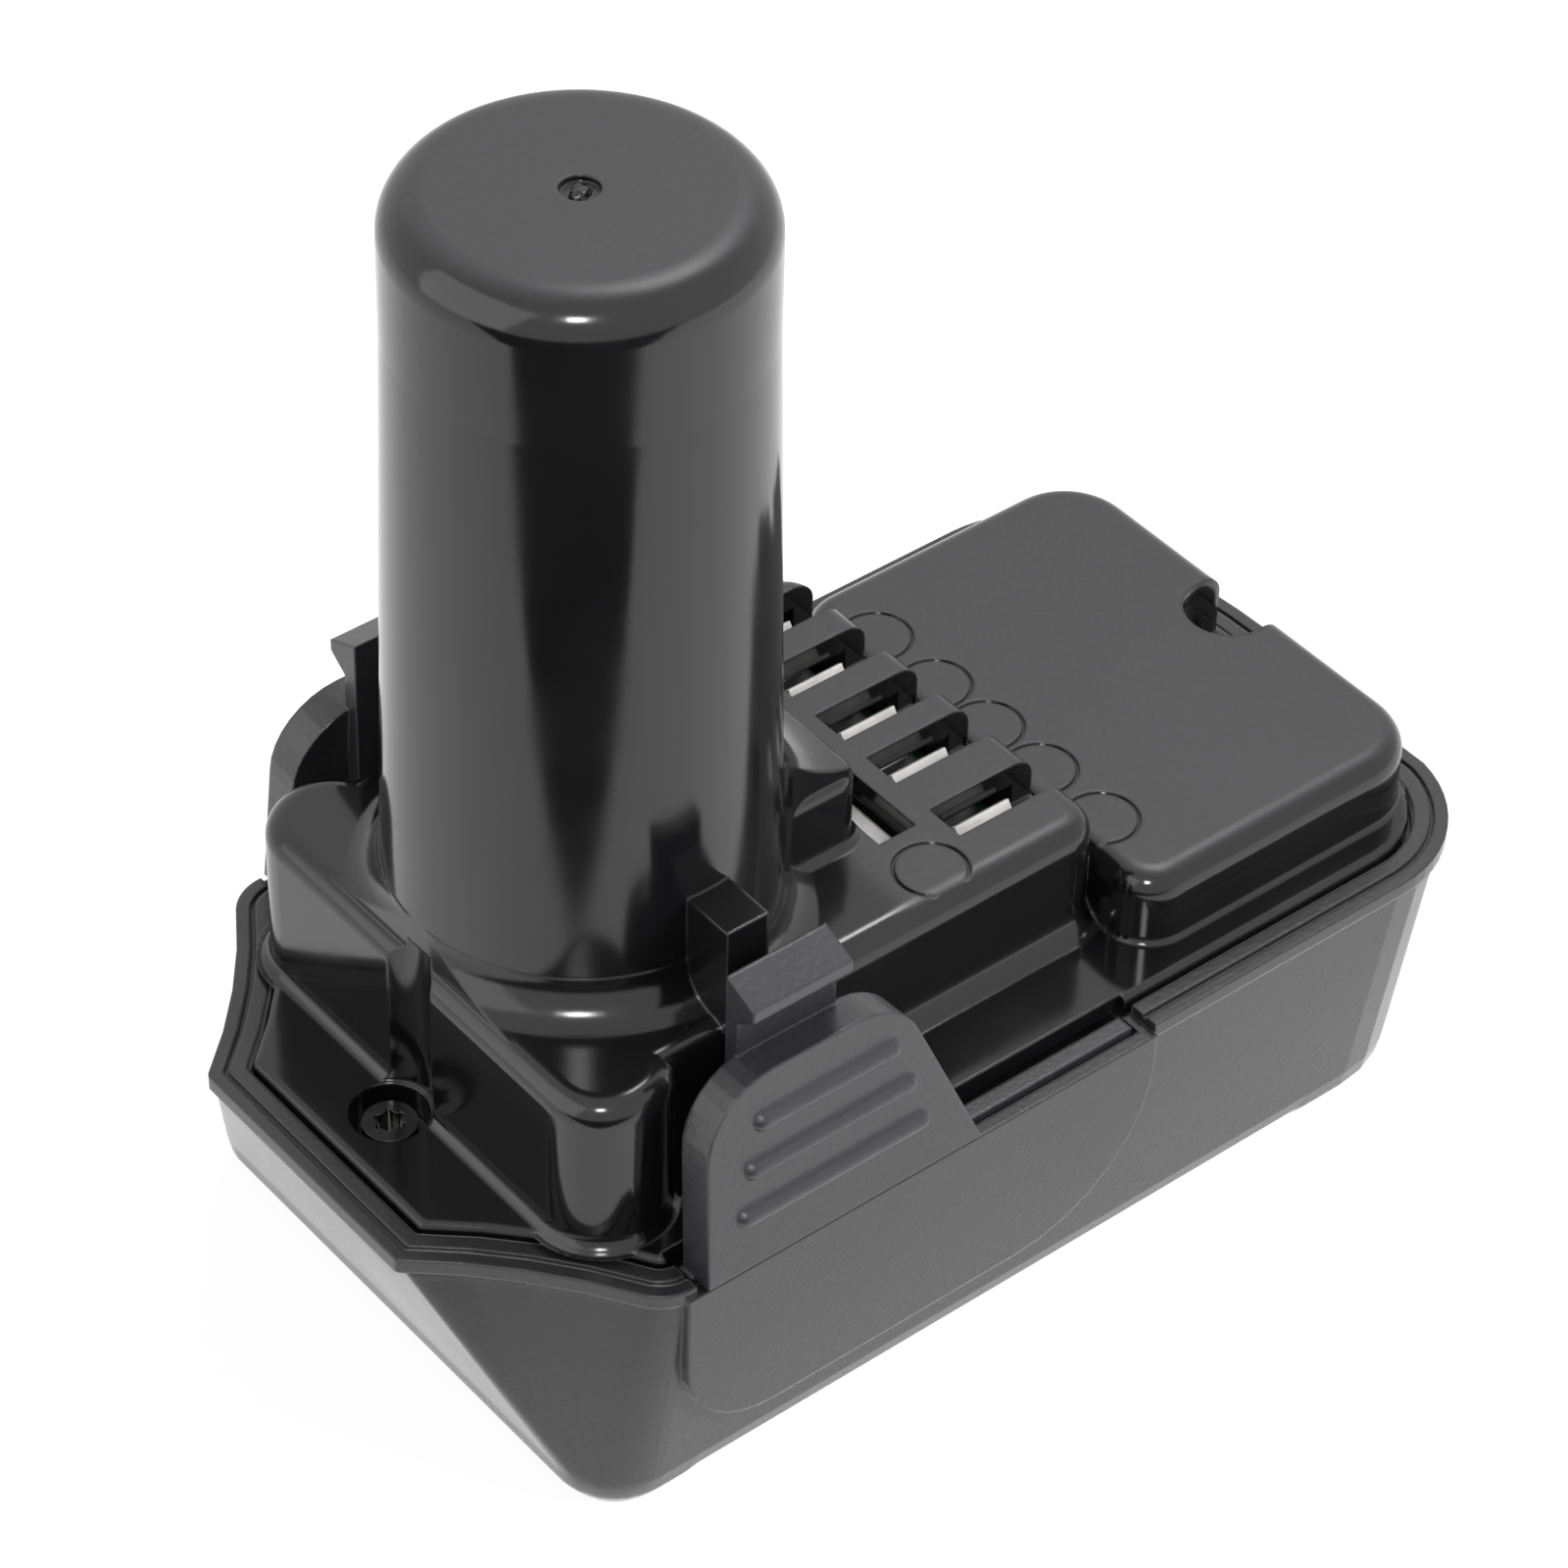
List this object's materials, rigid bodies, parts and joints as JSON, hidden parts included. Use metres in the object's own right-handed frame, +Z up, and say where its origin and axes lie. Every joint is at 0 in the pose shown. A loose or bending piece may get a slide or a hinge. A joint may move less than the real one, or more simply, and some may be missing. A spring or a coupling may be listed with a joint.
{
  "type": "power tool battery pack",
  "caption": "Slide-in battery pack for a cordless tool, with a round cell tower, contact slots in a stepped deck and a spring latch on each side.",
  "frame": {"origin": "centre of the outline, on the surface that the pack stands on", "axes": "+X from the tower to the rear of the deck, +Y to the left latch, +Z up along the tower"},
  "size_m": [0.0966, 0.0554, 0.0987],
  "materials": {
    "satin_black": "satin, polished on the tower",
    "grained_black": "fine pebble grain",
    "latch_black": "fine pebble grain",
    "steel": "drawn",
    "black_steel": "blackened",
    "cell_sleeve": "shrink sleeve",
    "paper": "plain",
    "frame_plastic": "plain",
    "foam": "soft",
    "nickel": "nickel plated",
    "board": "solder mask",
    "chip_black": "moulded",
    "holder_plastic": "moulded",
    "contact": "bright plated",
    "red_lead": "smooth",
    "black_lead": "smooth"
  },
  "bodies": {
    "case": {"upper_case": "satin_black", "lower_case": "grained_black", "latch_pins": "steel", "latch_spring_right": "steel", "latch_spring_left": "steel", "case_screws": "black_steel", "tower_cell": "cell_sleeve", "right_cell": "cell_sleeve", "left_cell": "cell_sleeve", "cell_rings": "paper", "cell_frame": "frame_plastic", "bottom_pads": "foam", "tower_pad": "foam", "tower_sleeves": "foam", "rear_strap": "nickel", "right_strap": "nickel", "left_strap": "nickel", "top_strap": "nickel", "circuit_board": "board", "board_chips": "chip_black", "clip_holder": "holder_plastic", "slot_clips": "contact", "cross_clip": "contact", "thermal_sensor": "chip_black", "tower_wire": "red_lead", "board_wire": "black_lead"},
    "right_latch": {"latch_right": "latch_black"},
    "left_latch": {"latch_left": "latch_black"}
  },
  "joints": [
    {"name": "right_latch_press", "type": "hinge", "parent": "case", "child": "right_latch", "pos_m": [-0.0137, -0.0243, 0.012], "axis": [-1, 0, 0], "range_deg": [0, 3], "stiffness_Nm_per_rad": 3, "springref_deg": -1.72, "deforming": ["latch_spring_right"]},
    {"name": "left_latch_press", "type": "hinge", "parent": "case", "child": "left_latch", "pos_m": [-0.0137, 0.0243, 0.012], "axis": [1, 0, 0], "range_deg": [0, 3], "stiffness_Nm_per_rad": 3, "springref_deg": -1.72, "deforming": ["latch_spring_left"]}
  ]
}
